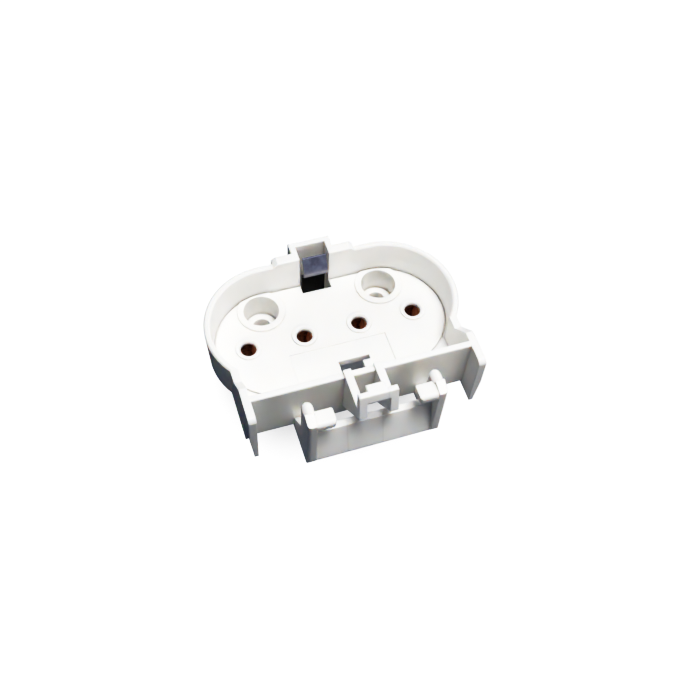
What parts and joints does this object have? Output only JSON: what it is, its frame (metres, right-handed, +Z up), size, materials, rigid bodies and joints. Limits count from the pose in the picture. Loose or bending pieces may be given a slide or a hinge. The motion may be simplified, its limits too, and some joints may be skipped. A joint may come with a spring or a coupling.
{
  "type": "compact fluorescent lamp socket",
  "caption": "White moulded lamp holder: a shallow tray with a row of contact wells, sunk screw bores, a sprung steel latch and a hook and bracket at the front.",
  "frame": {"origin": "on the mounting face, under the middle of the row of contact wells", "axes": "+X along the row of wells to the right, +Y to the latch at the back, +Z up out of the tray"},
  "size_m": [0.0442, 0.0382, 0.0237],
  "materials": {
    "housing": "satin moulded",
    "cover": "satin moulded",
    "latch": "rolled spring steel",
    "contact": "bare bronze"
  },
  "bodies": {
    "holder": {"housing": "housing", "back_cover": "cover", "contact_1": "contact", "contact_2": "contact", "contact_3": "contact", "contact_4": "contact"},
    "latch": {"latch": "latch"}
  },
  "joints": [
    {"name": "latch_flex", "type": "hinge", "parent": "holder", "child": "latch", "pos_m": [0, 0.01145, 0.0035], "axis": [-1, 0, 0], "range_deg": [0, 8], "stiffness_Nm_per_rad": 0.02}
  ]
}
